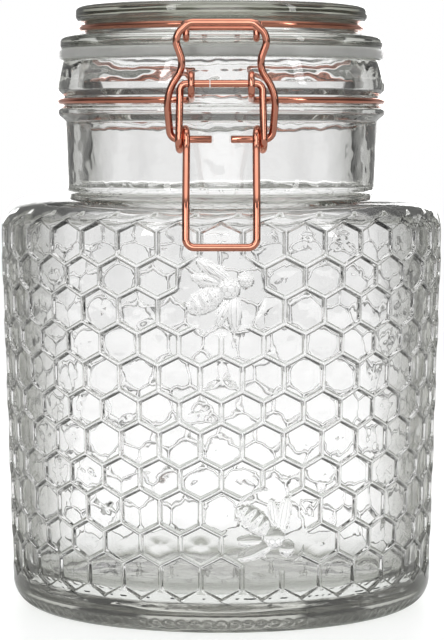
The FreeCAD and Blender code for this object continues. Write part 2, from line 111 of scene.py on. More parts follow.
# The cleared field round a bee and its soft edge, as shares of the bee's length.
BEE_FIELD, BEE_FIELD_EDGE = 0.55, 0.07
# The bands across the abdomen: mean height, depth, and how close they are.
BAND_MEAN, BAND_DEPTH, BAND_RATE = 0.84, 0.16, 14

# The bail: its wire, the place (y, z) of the lever's coils that hold its feet, and half its
# outline from a foot's end to the middle of its bar, as half width in mm, height as a share
# of the bail's length, and bend radius in mm.
BAIL_GAUGE = 1.1 * MM
COIL = (-52.4 * MM, 145.3 * MM)
BAIL_CORNERS = (
    (2.8, 0, 0),
    (14.9, 0, 2.6),
    (16.1, 0.39, 13.0),
    (10.8, 0.63, 7.0),
    (13.9, 0.88, 4.5),
    (9.4, 1, 3.0),
    (0, 1, 0),
)


# ---- outlines and turned pieces ----------------------------------------------

def rounded(corners, step=0.0012):
    """Points along an outline of corners (radius, height, rounding)."""
    line = []
    for place, (r, z, bend) in enumerate(corners):
        here = Vector((r, z))
        if bend <= 0 or place in (0, len(corners) - 1):
            line.append(here)
            continue
        into = (here - Vector(corners[place - 1][:2])).normalized()
        onward = (Vector(corners[place + 1][:2]) - here).normalized()
        turn = into.angle(onward)
        reach = bend * math.tan(turn / 2)
        inward = (onward - into).normalized()
        centre = here + inward * (bend / math.cos(turn / 2))
        first, last = here - into * reach - centre, here + onward * reach - centre
        pieces = max(3, int(bend * turn / step) + 1)
        for piece in range(pieces + 1):
            share = piece / pieces
            spot = first * math.sin((1 - share) * turn) + last * math.sin(share * turn)
            line.append(centre + spot / math.sin(turn))
    return line


def divided(line, longest):
    """The same outline with no run longer than that."""
    points = [line[0]]
    for before, after in zip(line, line[1:]):
        parts = max(1, math.ceil((after - before).length / longest))
        points += [before.lerp(after, part / parts) for part in range(1, parts + 1)]
    return points


def ring(count, r, z):
    """A ring of points about the jar's axis, starting at the front."""
    angle = np.arange(count) * (2 * math.pi / count) - math.pi / 2
    return np.stack([r * np.cos(angle), r * np.sin(angle), np.full(count, z)], axis=1)


def faces_between(first, second):
    """Faces between two loops of vertex numbers; one may have a multiple of the other's count."""
    few, many = sorted((first, second), key=len)
    ratio, count = len(many) // len(few), len(few)
    faces = []
    for place in range(count):
        follow = (place + 1) % count
        if ratio == 1:
            faces.append((first[place], first[follow], second[follow], second[place]))
            continue
        if count == 1:
            loops = [(few[0], many[(k + 1) % len(many)], many[k]) for k in range(len(many))]
        else:
            fan = [many[(place * ratio + k) % len(many)] for k in range(ratio + 1)]
            middle = ratio // 2
            loops = [(few[place], fan[k + 1], fan[k]) for k in range(middle)]
            loops.append((few[place], few[follow], fan[middle]))
            loops += [(few[follow], fan[k + 1], fan[k]) for k in range(middle, ratio)]
        faces += loops if few is first else [loop[::-1] for loop in loops]
    return faces


def joined_rings(rings):
    """Faces between rings of points that follow one another in the vertex list."""
    loops, start = [], 0
    for points in rings:
        loops.append(list(range(start, start + len(points))))
        start += len(points)
    return [face for pair in zip(loops, loops[1:]) for face in faces_between(*pair)]


def mesh_piece(name, points, faces, material, normals=None):
    """A smooth-shaded mesh object; where a given normal is zero, the mesh's own counts."""
    mesh = bpy.data.meshes.new(name)
    mesh.from_pydata([tuple(p) for p in points], [], faces)
    mesh.polygons.foreach_set("use_smooth", [True] * len(mesh.polygons))
    mesh.update()
    if normals is not None:
        mesh.normals_split_custom_set_from_vertices([tuple(n) for n in normals])
    piece = bpy.data.objects.new(name, mesh)
    bpy.context.collection.objects.link(piece)
    mesh.materials.append(material)
    return piece


def turned_piece(name, line, material, closed=False):
    """A piece turned about the jar's axis; both ends of its line lie on the axis unless closed."""
    rings = []
    for spot in line:
        if spot.x < ON_AXIS:
            rings.append(np.array([[0.0, 0.0, spot.y]]))
        else:
            rings.append(ring(AROUND_TURNED, spot.x, spot.y))
    faces = joined_rings(rings)
    points = np.concatenate(rings)
    if closed:
        last = len(points) - AROUND_TURNED
        for k in range(AROUND_TURNED):
            follow = (k + 1) % AROUND_TURNED
            faces.append((last + k, last + follow, follow, k))
    return mesh_piece(name, points, faces, material)


def wire_mesh(name, spots, gauge, material):
    """A round wire of that radius along points, with slightly rounded ends."""
    rim, set_back = 0.8, 0.2 * gauge
    points, loops = [], []
    across = None
    for place, spot in enumerate(spots):
        before, after = spots[max(place - 1, 0)], spots[min(place + 1, len(spots) - 1)]
        along = (after - before).normalized()
        across = Vector((0, 1, 0)).cross(along) if across is None else across
        across = (across - along * across.dot(along)).normalized()
        side = along.cross(across)
        shares = [1.0]
        if place in (0, len(spots) - 1):
            shares = [0.0, rim, 1.0] if place == 0 else [1.0, rim, 0.0]
        for share in shares:
            back = set_back * (1 if place == 0 else -1) * (share == 1.0 and len(shares) > 1)
            middle = spot + along * back
            if share == 0:
                loops.append([len(points)])
                points.append(middle)
                continue
            loops.append(list(range(len(points), len(points) + AROUND_WIRE)))
            for k in range(AROUND_WIRE):
                turn = 2 * math.pi * k / AROUND_WIRE
                out = across * math.cos(turn) + side * math.sin(turn)
                points.append(middle + out * gauge * share)
    faces = [face for pair in zip(loops, loops[1:]) for face in faces_between(*pair)]
    return mesh_piece(name, points, faces, material)


# ---- the pressed relief --------------------------------------------------------

# The relief is laid out on (turns, height): turns counts columns of cells from the front.
HALF_WALLS = [
    (ROW_PITCH - CELL_TILT + (ROW_SHIFT if row % 2 == 0 else -ROW_SHIFT)) / 2
    for row in range(ROWS)
]
ROW_LEVELS = [LOWEST_ROW + ROW_PITCH * row for row in range(ROWS)]
COMB_TOP = ROW_LEVELS[-1] + HALF_WALLS[-1] + CELL_TILT
HALF_CELL = (HEEL_RADIUS + BODY_RADIUS) / 2 * math.pi / COLUMNS
LEAN = CELL_TILT / HALF_CELL
# Each cell's mesh rings, as distances in from the ribs' middle: six across the rib, then few
# over the cell's floor, or many near a bee. Beyond the deepest inset the rings only shrink.
RIB_RINGS = [0, 0.38 * MM, 0.55 * MM, 0.67 * MM, 0.8 * MM, 0.98 * MM, 2.6 * MM, 4.4 * MM]
ON_THE_RIB = 6
FINE_RINGS = RIB_RINGS[:ON_THE_RIB] + [(0.98 + 0.42 * step) * MM for step in range(1, 12)]
DEEPEST_INSET = 4.4 * MM
FINE_REACH = 20 * MM
FINE_TIMES = 4
PILLOW_SEED = 7
# The step over which the relief's slope is measured for its normals.
SLOPE_STEP = 0.04 * MM
# Points whose turns and heights agree when multiplied by these and rounded are one point.
TURNS_GRID, HEIGHT_GRID = 100000, 1e8


def smooth(x):
    """A soft step from 0 to 1."""
    x = np.clip(x, 0, 1)
    return x * x * (3 - 2 * x)


def plain_body(height):
    """The body without relief: radius, and the two parts of its outward direction."""
    taper = (BODY_RADIUS - HEEL_RADIUS) / (TAPER_TOP - TAPER_FOOT)
    radius = BODY_RADIUS + taper * np.minimum(height - TAPER_TOP, 0)
    lift = np.clip((height - BAND_TOP) / SHOULDER_ROUND, 0, 1)
    side = np.sqrt(1 - lift * lift)
    radius = np.where(lift > 0, BODY_RADIUS - SHOULDER_ROUND * (1 - side), radius)
    return radius, side, np.where(lift > 0, lift, -taper * (height < TAPER_TOP))


def cell_depth(turns, height):
    """How far inside its cell each point is, from the ribs' middle, and which cell it is."""
    best = np.full(turns.shape, -1.0)
    cell = np.zeros(turns.shape, dtype=int)
    for row in range(ROWS):
        offset = turns - (row % 2) / 2
        column = np.round(offset)
        across = np.abs(offset - column) * 2 * HALF_CELL
        up = np.abs(height - ROW_LEVELS[row])
        slant = (HALF_WALLS[row] + CELL_TILT * (1 - across / HALF_CELL) - up) / math.hypot(1, LEAN)
        depth = np.minimum(HALF_CELL - across, slant)
        nearer = depth > best
        best = np.where(nearer, depth, best)
        cell = np.where(nearer, row * COLUMNS + np.mod(column, COLUMNS).astype(int), cell)
    return best, cell


# A bee seen from above, heading along +x: place and half axes of each piece as
# shares of the bee's length, its turn in degrees and its height.
BEE_PIECES = (
    (-0.24, 0.0, 0.27, 0.16, 0, 1.0),
    (0.12, 0.0, 0.15, 0.15, 0, 1.0),
    (0.36, 0.0, 0.11, 0.11, 0, 0.9),
    (0.04, 0.30, 0.27, 0.10, 118, 0.6),
    (-0.10, 0.24, 0.20, 0.08, 140, 0.5),
    (0.04, -0.30, 0.27, 0.10, -118, 0.6),
    (-0.10, -0.24, 0.20, 0.08, -140, 0.5),
)


def bee_relief(turns, height, bee):
    """(how far the bee's field clears the ribs, the bee's own height), both 0 to 1."""
    place, level, heading = bee
    off = np.mod(turns - place * COLUMNS / 360 + COLUMNS / 2, COLUMNS) - COLUMNS / 2
    x, y = off * 2 * HALF_CELL, height - level
    c, s = math.cos(math.radians(heading)), math.sin(math.radians(heading))
    along, across = (x * c + y * s) / BEE_LENGTH, (y * c - x * s) / BEE_LENGTH
    field = 1 - smooth((np.hypot(along, across) - BEE_FIELD) / BEE_FIELD_EDGE)
    body = np.zeros(turns.shape)
    for piece, (px, py, long_half, short_half, turn, top) in enumerate(BEE_PIECES):
        c, s = math.cos(math.radians(turn)), math.sin(math.radians(turn))
        u = ((along - px) * c + (across - py) * s) / long_half
        v = ((across - py) * c - (along - px) * s) / short_half
        dome = top * np.sqrt(np.clip(1 - u * u - v * v, 0, 1))
        if piece == 0:
            dome = dome * (BAND_MEAN + BAND_DEPTH * np.cos(u * BAND_RATE))
        body = np.maximum(body, dome)
    return field, body


def relief_height(turns, height):
    """Height of the relief, from 0 on a cell's floor to 1 on a rib's crest."""
    depth, cell = cell_depth(turns, height)
    pillow = np.random.RandomState(PILLOW_SEED).uniform(*PILLOW, ROWS * COLUMNS)[cell]
    rib = 1 - smooth((depth - RIB_CREST) / RIB_SIDE)
    crown = RIB_CROWN * np.clip(depth / RIB_CREST, 0, 1) ** 2
    bulge = pillow * smooth((depth - RIB_CREST - RIB_SIDE) / HALF_CELL)
    raised = np.where(depth < 0, 1, rib - crown * rib + bulge)
    for bee in BEES:
        field, body = bee_relief(turns, height, bee)
        raised = raised * (1 - field) + body * field
    return raised


def relief_point(turns, height):
    """Points of the body's surface, relief included."""
    radius, side, lift = plain_body(height)
    pressed = RELIEF * (1 - relief_height(turns, height))
    angle = turns * (2 * math.pi / COLUMNS) - math.pi / 2
    out = radius - pressed * side
    return np.stack([out * np.cos(angle), out * np.sin(angle), height - pressed * lift], axis=1)


def cell_ring(row, column, inset, side_steps, slant_steps):
    """Points round a cell, that far inside the ribs' middle, anticlockwise from its lowest tip."""
    shrink = (HALF_CELL - max(inset, DEEPEST_INSET)) / (HALF_CELL - DEEPEST_INSET)
    inset = min(inset, DEEPEST_INSET)
    drop = inset * math.hypot(1, LEAN)
    side = (HALF_CELL - inset) * shrink
    corner = (HALF_WALLS[row] + LEAN * inset - drop) * shrink
    tip = (HALF_WALLS[row] + CELL_TILT - drop) * shrink
    corners = [
        (0, -tip), (side, -corner), (side, corner),
        (0, tip), (-side, corner), (-side, -corner),
    ]
    steps = [slant_steps, side_steps, slant_steps] * 2
    spots = []
    for place, count in enumerate(steps):
        (x0, y0), (x1, y1) = corners[place], corners[(place + 1) % 6]
        for k in range(count):
            x, y = x0 + (x1 - x0) * k / count, y0 + (y1 - y0) * k / count
            spots.append((column + (row % 2) / 2 + x / (2 * HALF_CELL), ROW_LEVELS[row] + y))
    return spots


def near_a_bee(row, column):
    """Whether a cell is so near a bee that it needs the fine mesh."""
    turns = column + (row % 2) / 2
    for place, level, _ in BEES:
        off = (turns - place * COLUMNS / 360 + COLUMNS / 2) % COLUMNS - COLUMNS / 2
        if math.hypot(off * 2 * HALF_CELL, ROW_LEVELS[row] - level) < FINE_REACH:
            return True
    return False


def honeycomb_mesh(start):
    """The honeycomb band: points, normals, faces, and the loops along its lower and upper edges."""
    numbers, spots, faces = {}, [], []

    def number(spot):
        """The point's number; points that cells share on their walls get one number."""
        turns, height = spot
        key = (round(turns * TURNS_GRID) % (COLUMNS * TURNS_GRID), round(height * HEIGHT_GRID))
        if key not in numbers:
            numbers[key] = start + len(spots)
            spots.append(spot)
        return numbers[key]

    low_edge, high_edge = [], []
    for row in range(ROWS):
        for column in range(COLUMNS):
            fine = near_a_bee(row, column)
            insets = FINE_RINGS if fine else RIB_RINGS
            loops = []
            for place, inset in enumerate(insets):
                times = FINE_TIMES if fine and place else 1
                loop = cell_ring(row, column, inset, SIDE_STEPS * times, SLANT_STEPS * times)
                loops.append([number(spot) for spot in loop])
            loops.append([number((column + (row % 2) / 2, ROW_LEVELS[row]))])
            for pair in zip(loops, loops[1:]):
                faces += faces_between(*pair)
            if row == 0:
                low_edge += loops[0][-SLANT_STEPS:] + loops[0][:SLANT_STEPS]
            if row == ROWS - 1:
                top = SLANT_STEPS + SIDE_STEPS
                high_edge += loops[0][top + 2 * SLANT_STEPS:top:-1]
    turns, height = np.array(spots).T
    points = relief_point(turns, height)
    step = SLOPE_STEP
    around = relief_point(turns + step, height) - relief_point(turns - step, height)
    upwards = relief_point(turns, height + step) - relief_point(turns, height - step)
    normals = np.cross(around / (2 * step), upwards / (2 * step))
    normals /= np.linalg.norm(normals, axis=1)[:, None]
    return points, normals, faces, low_edge, high_edge


# ---- materials -----------------------------------------------------------------

def new_material(name):
    """An empty node material: its tree, a shorthand to add nodes, and its output."""
    material = bpy.data.materials.new(name)
    material.use_nodes = True
    tree = material.node_tree
    tree.nodes.clear()

    def add(kind, **values):
        node = tree.nodes.new(kind)
        for key, what in values.items():
            if key in node.inputs.keys():
                node.inputs[key].default_value = what
            else:
                setattr(node, key, what)
        return node

    return material, tree.links.new, add, add("ShaderNodeOutputMaterial")


CLEAR_GLASS = (0.985, 0.985, 0.985)
LID_GLASS = (0.97, 0.975, 0.965)
JAR_RIPPLE, LID_RIPPLE = 0.35, 0.3
# How near to a grazing view the glass's colour starts to darken with painted shade, and where it is
# darkest.
RIM_START, RIM_END = 0.3, 0.72
PAINTED_RIM_SHADE = (0.25, 0.256, 0.22, 1)
SHADOW_COLOUR = (0.97, 0.98, 0.97, 1)
# Long waves all over, and shorter swirls as well on the inside wall and the neck.
WAVE_SCALE, SWIRL_SCALE, SWIRL_SHARE = 55.0, 150.0, 0.8
RIPPLE_HEIGHT = 0.6 * MM
# Soda-lime glass takes a little light, mostly blue, from a long way through it.
GLASS_DEPTH_COLOUR = (0.27, 0.28, 0.17, 1)
JAR_DENSITY, LID_DENSITY = 5.0, 14.0


def glass_material(name, tint, ripple, density, inner=0.0):
    """Clear pressed glass that casts a pale shadow, with painted shade towards grazing views;
    within the inner radius it is more uneven.
    """
    material, link, add, output = new_material(name)
    glass = add("ShaderNodeBsdfPrincipled")
    glass.inputs["Base Color"].default_value = (*tint, 1)
    glass.inputs["Roughness"].default_value = 0.0
    glass.inputs["IOR"].default_value = 1.5
    glass.inputs["Transmission Weight"].default_value = 1.0
    # Painted shade: the base colour darkens where the glass turns away from the view, towards its
    # outlines and rib slopes.
    rim = add("ShaderNodeLayerWeight", Blend=0.5)
    shade = add("ShaderNodeValToRGB")
    shade.color_ramp.elements[0].position = RIM_START
    shade.color_ramp.elements[0].color = (*tint, 1)
    shade.color_ramp.elements[1].position = RIM_END
    shade.color_ramp.elements[1].color = PAINTED_RIM_SHADE
    link(rim.outputs["Facing"], shade.inputs["Fac"])
    link(shade.outputs["Color"], glass.inputs["Base Color"])
    place = add("ShaderNodeTexCoord")
    waves = add("ShaderNodeTexNoise", Scale=WAVE_SCALE, Detail=1.5)
    bump = add("ShaderNodeBump", Strength=ripple, Distance=RIPPLE_HEIGHT)
    link(place.outputs["Object"], waves.inputs["Vector"])
    link(bump.outputs["Normal"], glass.inputs["Normal"])
    # Glass nearer to the axis than the inner radius takes the shorter swirls too.
    spread = add("ShaderNodeVectorMath", operation="MULTIPLY")
    spread.inputs[1].default_value = (1, 1, 0)
    reach = add("ShaderNodeVectorMath", operation="LENGTH")
    within = add("ShaderNodeMath", operation="LESS_THAN")
    within.inputs[1].default_value = inner
    swirls = add("ShaderNodeTexNoise", Scale=SWIRL_SCALE, Detail=1.0)
    uneven = add("ShaderNodeMath", operation="MULTIPLY")
    height = add("ShaderNodeMath", operation="MULTIPLY_ADD")
    height.inputs[1].default_value = SWIRL_SHARE
    link(place.outputs["Object"], spread.inputs[0])
    link(spread.outputs[0], reach.inputs[0])
    link(reach.outputs["Value"], within.inputs[0])
    link(place.outputs["Object"], swirls.inputs["Vector"])
    link(within.outputs[0], uneven.inputs[0])
    link(swirls.outputs["Fac"], uneven.inputs[1])
    link(uneven.outputs[0], height.inputs[0])
    link(waves.outputs["Fac"], height.inputs[2])
    link(height.outputs[0], bump.inputs["Height"])
    clear = add("ShaderNodeBsdfTransparent", Color=SHADOW_COLOUR)
    path = add("ShaderNodeLightPath")
    either = add("ShaderNodeMath", operation="MAXIMUM")
    mix = add("ShaderNodeMixShader")
    link(path.outputs["Is Shadow Ray"], either.inputs[0])
    link(path.outputs["Is Diffuse Ray"], either.inputs[1])
    link(either.outputs[0], mix.inputs[0])
    link(glass.outputs[0], mix.inputs[1])
    link(clear.outputs[0], mix.inputs[2])
    link(mix.outputs[0], output.inputs["Surface"])
    depth = add("ShaderNodeVolumeAbsorption", Color=GLASS_DEPTH_COLOUR, Density=density)
    link(depth.outputs[0], output.inputs["Volume"])
    return material


COPPER_DARK, COPPER_LIGHT = (0.50, 0.205, 0.14, 1), (0.64, 0.27, 0.185, 1)
COPPER_ROUGHNESS = (0.07, 0.15)


def copper_material():
    """Polished rose-gold plating, a little uneven in tone, gloss and surface."""
    material, link, add, output = new_material("rose_gold_plating")
    metal = add("ShaderNodeBsdfPrincipled")
    metal.inputs["Metallic"].default_value = 1.0
    place = add("ShaderNodeTexCoord")
    cloud = add("ShaderNodeTexNoise", Scale=90.0, Detail=3.0)
    tone = add("ShaderNodeValToRGB")
    tone.color_ramp.elements[0].position = 0.3
    tone.color_ramp.elements[0].color = COPPER_DARK
    tone.color_ramp.elements[1].position = 0.7
    tone.color_ramp.elements[1].color = COPPER_LIGHT
    rough = add("ShaderNodeMapRange")
    rough.inputs["To Min"].default_value = COPPER_ROUGHNESS[0]
    rough.inputs["To Max"].default_value = COPPER_ROUGHNESS[1]
    grain = add("ShaderNodeTexNoise", Scale=900.0, Detail=2.0)
    bump = add("ShaderNodeBump", Strength=0.08, Distance=0.0002)
    for node in (cloud, grain):
        link(place.outputs["Object"], node.inputs["Vector"])
    link(cloud.outputs["Fac"], tone.inputs["Fac"])
    link(cloud.outputs["Fac"], rough.inputs["Value"])
    link(grain.outputs["Fac"], bump.inputs["Height"])
    link(tone.outputs["Color"], metal.inputs["Base Color"])
    link(rough.outputs["Result"], metal.inputs["Roughness"])
    link(bump.outputs["Normal"], metal.inputs["Normal"])
    link(metal.outputs[0], output.inputs["Surface"])
    return material


SILICONE_DARK, SILICONE_LIGHT = (0.72, 0.72, 0.69, 1), (0.92, 0.92, 0.90, 1)


def silicone_material():
    """Translucent whitish silicone with a fine mottle."""
    material, link, add, output = new_material("clear_silicone")
    rubber = add("ShaderNodeBsdfPrincipled")
    rubber.inputs["IOR"].default_value = 1.41
    rubber.inputs["Transmission Weight"].default_value = 0.5
    rubber.inputs["Roughness"].default_value = 0.35
    place = add("ShaderNodeTexCoord")
    mottle = add("ShaderNodeTexNoise", Scale=160.0, Detail=4.0)
    tone = add("ShaderNodeValToRGB")
    tone.color_ramp.elements[0].color = SILICONE_DARK
    tone.color_ramp.elements[1].color = SILICONE_LIGHT
    bump = add("ShaderNodeBump", Strength=0.5, Distance=0.0004)
    link(place.outputs["Object"], mottle.inputs["Vector"])
    link(mottle.outputs["Fac"], tone.inputs["Fac"])
    link(mottle.outputs["Fac"], bump.inputs["Height"])
    link(tone.outputs["Color"], rubber.inputs["Base Color"])
    link(bump.outputs["Normal"], rubber.inputs["Normal"])
    link(rubber.outputs[0], output.inputs["Surface"])
    return material


# ---- the pieces ----------------------------------------------------------------

def jar_piece(material):
    """The jar's glass: underside and heel, the honeycomb band, then shoulder, neck and inside."""
    standing = HEEL_RADIUS - 8.6 * MM
    under = rounded([
        (0, 2.6 * MM, 0),
        (HEEL_RADIUS - 13.0 * MM, 0, 0),
        (standing, 0, 0),
    ])
    heel = rounded([
        (standing, 0, 0),
        (HEEL_RADIUS, 0, 8.4 * MM),
        (HEEL_RADIUS, 8.6 * MM, 0),
    ], step=0.0005)
    above = rounded([
        (BODY_RADIUS - SHOULDER_ROUND - 0.2 * MM, BAND_TOP + SHOULDER_ROUND + 0.02 * MM, 0),
        (NECK_RADIUS, SLOPE_TOP, 2.2 * MM),
        (NECK_RADIUS + 0.9 * MM, LIP - 18.9 * MM, 1.2 * MM),
        (MOUTH_RING, LIP - 16.9 * MM, 1.0 * MM),
        (MOUTH_RING, LIP - 15.1 * MM, 0.8 * MM),
        (MOUTH_RING - 1.9 * MM, LIP - 14.4 * MM, 0.4 * MM),
        (MOUTH_RING - 1.9 * MM, LIP - 11.2 * MM, 0.4 * MM),
        (MOUTH_RING, LIP - 9.4 * MM, 0.8 * MM),
        (MOUTH_RING, LIP - 7.3 * MM, 1.5 * MM),
        (LIP_RADIUS, LIP, 0.9 * MM),
        (BORE, LIP, 0.9 * MM),
        (BORE, SLOPE_TOP - WALL, 4.0 * MM),
        (BODY_RADIUS - WALL, BAND_TOP + SHOULDER_ROUND - WALL, 5.6 * MM),
        (BODY_RADIUS - WALL, TAPER_TOP, 0),
        (HEEL_RADIUS - WALL, INSIDE_FLOOR, 9.0 * MM),
        (0, INSIDE_FLOOR, 0),
    ])
    points, faces = [np.array([[0.0, 0.0, under[0].y]])], []
    normals = [np.zeros((1, 3))]
    loops = [[0]]
    total = 1

    def add_ring(ring_points):
        nonlocal total
        points.append(ring_points)
        normals.append(np.zeros(ring_points.shape))
        loops.append(list(range(total, total + len(ring_points))))
        total += len(ring_points)
        faces.extend(faces_between(loops[-2], loops[-1]))

    for spot in divided(under, 6 * MM)[1:]:
        add_ring(ring(AROUND_COARSE, spot.x, spot.y))
    for spot in divided(heel, 0.55 * MM):
        plain = ring(AROUND_FINE, spot.x, spot.y)
        wave = 0.5 + 0.5 * np.cos(np.arange(AROUND_FINE) * (2 * math.pi * NOTCHES / AROUND_FINE))
        depth = NOTCH_DEPTH * math.exp(-((spot.y - NOTCH_LEVEL) / NOTCH_SPREAD) ** 2) * wave
        inwards = 1 - depth / spot.x
        add_ring(plain * np.stack([inwards, inwards, np.ones(AROUND_FINE)], axis=1))
    comb, comb_normals, comb_faces, low_edge, high_edge = honeycomb_mesh(total)
    points.append(comb)
    normals.append(comb_normals)
    faces += comb_faces
    faces += faces_between(loops[-1], low_edge)
    total += len(comb)
    loops.append(high_edge)
    # The plain shoulder starts a millimetre above the honeycomb.
    start = math.asin((COMB_TOP + 1.0 * MM - BAND_TOP) / SHOULDER_ROUND)
    for step in range(SHOULDER_STEPS):
        turn = start + (math.pi / 2 - start) * step / SHOULDER_STEPS
        add_ring(ring(
            AROUND_COARSE,
            BODY_RADIUS - SHOULDER_ROUND * (1 - math.cos(turn)),
            BAND_TOP + SHOULDER_ROUND * math.sin(turn),
        ))
    for spot in divided(above, 4 * MM)[:-1]:
        add_ring(ring(AROUND_COARSE, spot.x, spot.y))
    add_ring(np.array([[0.0, 0.0, INSIDE_FLOOR]]))
    points, normals = np.concatenate(points), np.concatenate(normals)
    piece = mesh_piece("jar_honeycomb", points, faces, material, normals)
    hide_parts("jar_glass")
    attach(piece, "jar")
    return piece


def lid_piece(material):
    """The lid's glass, with its plug, flange, wire groove and disc."""
    top = FLANGE_BASE + 4.0 * MM
    disc_base = LID_TOP - 5.1 * MM
    disc, waist = FLANGE_RADIUS - 4.8 * MM, FLANGE_RADIUS - 7.95 * MM
    hollow = PLUG - 4.0 * MM
    line = rounded([
        (0, FLANGE_BASE + 6.0 * MM, 0),
        (hollow, FLANGE_BASE + 6.0 * MM, 4.0 * MM),
        (hollow, FLANGE_BASE - 4.4 * MM, 1.0 * MM),
        (PLUG, FLANGE_BASE - 4.4 * MM, 1.0 * MM),
        (PLUG, FLANGE_BASE, 0.4 * MM),
        (FLANGE_RADIUS, FLANGE_BASE, 0.7 * MM),
        (FLANGE_RADIUS, top, 1.9 * MM),
        (waist, top, 0.8 * MM),
        (waist, disc_base, 0.8 * MM),
        (disc, disc_base, 1.7 * MM),
        (disc, LID_TOP, 1.7 * MM),
        (0, LID_TOP, 0),
    ], step=0.0006)
    piece = turned_piece("lid_clear", divided(line, 4 * MM), material)
    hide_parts("lid_glass")
    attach(piece, "lid")
    return piece


def gasket_piece(material):
    """The sealing ring, a band of rounded section."""
    bore, low, high = PLUG + 0.3 * MM, GASKET_LOW[2], GASKET_HIGH[2]
    line = rounded([
        (bore, low + 1.0 * MM, 0),
        (bore, low, 0.5 * MM),
        (GASKET_RADIUS, low, 0.9 * MM),
        (GASKET_RADIUS, high, 0.9 * MM),
        (bore, high, 0.5 * MM),
        (bore, high - 1.0 * MM, 0),
    ], step=0.0004)
    piece = turned_piece("gasket_ring", line, material, closed=True)
    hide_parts("gasket")
    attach(piece, "lid")
    return piece


def bail_piece(material):
    """The bail: one bent wire, its ends in the lever's coils, its bar before the lid's nose."""
    low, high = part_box("bail_wire")
    foot = Vector((0, *COIL))
    bar = Vector((0, low.y + BAIL_GAUGE, high.z - BAIL_GAUGE))
    rise, length = (bar - foot).normalized(), (bar - foot).length
    half = rounded(
        [(-wide * MM, share * length, bend * MM) for wide, share, bend in BAIL_CORNERS],
        step=0.0004,
    )
    spots = [Vector((p.x, 0, 0)) + foot + rise * p.y for p in half]
    spots += [Vector((-p.x, p.y, p.z)) for p in reversed(spots[:-1])]
    piece = wire_mesh("bail_clip", spots, BAIL_GAUGE, material)
    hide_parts("bail_wire")
    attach(piece, "bail")
    return piece


# ---- the stage -----------------------------------------------------------------

# What light through glass comes from: panels all round with dark gaps between them, edges
# given on the panels' cosine wave, and the ring's foot and top as the sine of elevation.
PANELS = 8.0
PANEL_EDGE, PANEL_SOFT = -0.4, 0.2
PANEL_LIGHT = 0.89
GAP_LIGHT = 0.1
RING_TOP, RING_FOOT, RING_SOFT = 0.28, -0.4, 0.08
SKY_EDGE, SKY_SOFT, SKY_LIGHT = 0.75, 0.1, 1.1
# What is mirrored: a bright box in front and behind, plain light between, and dark sides,
# edges given on the cosine of twice the azimuth, below a dim ceiling.
BOX_EDGES, BOX_LIGHT, BETWEEN_LIGHT = (-0.95, -0.65), 3.4, 0.4
SIDE_EDGES, SIDE_LIGHT = (-0.2, 0.6), 0.25
CEILING_EDGES, CEILING_LIGHT = (0.35, 0.5), 0.35

FLOOR_COLOUR = (0.68, 0.68, 0.68, 1)
FLOOR_LIFT = 0.4
FLOOR_RADIUS = 1.3
FLOOR_SINK = 0.02 * MM
FADE_START, FADE_END = 0.25, 0.9 * FLOOR_RADIUS


def studio_world():
    """White to the camera; what passes through glass or is mirrored sees studio lights."""
    world = bpy.data.worlds.new("studio")
    bpy.context.scene.world = world
    world.use_nodes = True
    tree = world.node_tree
    tree.nodes.clear()
    add, link = tree.nodes.new, tree.links.new

    def maths(operation, *values):
        node = add("ShaderNodeMath")
        node.operation = operation
        for place, what in enumerate(values):
            if isinstance(what, (int, float)):
                node.inputs[place].default_value = what
            else:
                link(what, node.inputs[place])
        return node.outputs[0]

    def ramp(what, start, stop, first, last):
        node = add("ShaderNodeMapRange")
        node.interpolation_type = "SMOOTHSTEP"
        link(what, node.inputs["Value"])
        numbers = {"From Min": start, "From Max": stop, "To Min": first, "To Max": last}
        for name, number in numbers.items():
            node.inputs[name].default_value = number
        return node.outputs[0]

    def blend(share, first, second):
        node = add("ShaderNodeMix")
        node.data_type = "FLOAT"
        link(share, node.inputs[0])
        for place, what in ((2, first), (3, second)):
            if isinstance(what, float):
                node.inputs[place].default_value = what
            else:
                link(what, node.inputs[place])
        return node.outputs[0]

    where = add("ShaderNodeTexCoord")
    parts = add("ShaderNodeSeparateXYZ")
    link(where.outputs["Generated"], parts.inputs[0])
    azimuth = maths("ARCTAN2", parts.outputs["Y"], parts.outputs["X"])
    wave = maths("COSINE", maths("MULTIPLY", azimuth, PANELS))
    panels = ramp(wave, PANEL_EDGE - PANEL_SOFT, PANEL_EDGE + PANEL_SOFT, GAP_LIGHT, PANEL_LIGHT)
    height = parts.outputs["Z"]
    above = ramp(height, RING_TOP - RING_SOFT, RING_TOP + RING_SOFT, 0.0, 1.0)
    below = ramp(height, RING_FOOT - RING_SOFT, RING_FOOT + RING_SOFT, 1.0, 0.0)
    top = ramp(height, SKY_EDGE - SKY_SOFT, SKY_EDGE + SKY_SOFT, GAP_LIGHT, SKY_LIGHT)
    mixed = blend(below, blend(above, panels, top), GAP_LIGHT)
    facing = maths("COSINE", maths("MULTIPLY", azimuth, 2.0))
    bright = ramp(facing, *BOX_EDGES, BOX_LIGHT, BETWEEN_LIGHT)
    boxes = maths("MULTIPLY", bright, ramp(facing, *SIDE_EDGES, 1.0, SIDE_LIGHT))
    higher = ramp(height, *CEILING_EDGES, 0.0, 1.0)
    ceiling = ramp(height, SKY_EDGE - SKY_SOFT, SKY_EDGE + SKY_SOFT, CEILING_LIGHT, SKY_LIGHT)
    mirrored = blend(higher, boxes, ceiling)
    path = add("ShaderNodeLightPath")
    # A ray through smooth glass counts as glossy too, so only reflected ones are picked.
    reflected = maths("SUBTRACT", 1.0, path.outputs["Is Transmission Ray"])
    lit = blend(maths("MULTIPLY", path.outputs["Is Glossy Ray"], reflected), mixed, mirrored)
    seen = blend(path.outputs["Is Camera Ray"], lit, 1.0)
    light = add("ShaderNodeBackground")
    light.inputs["Color"].default_value = (1, 1, 1, 1)
    link(seen, light.inputs["Strength"])
    output = add("ShaderNodeOutputWorld")
    link(light.outputs[0], output.inputs[0])


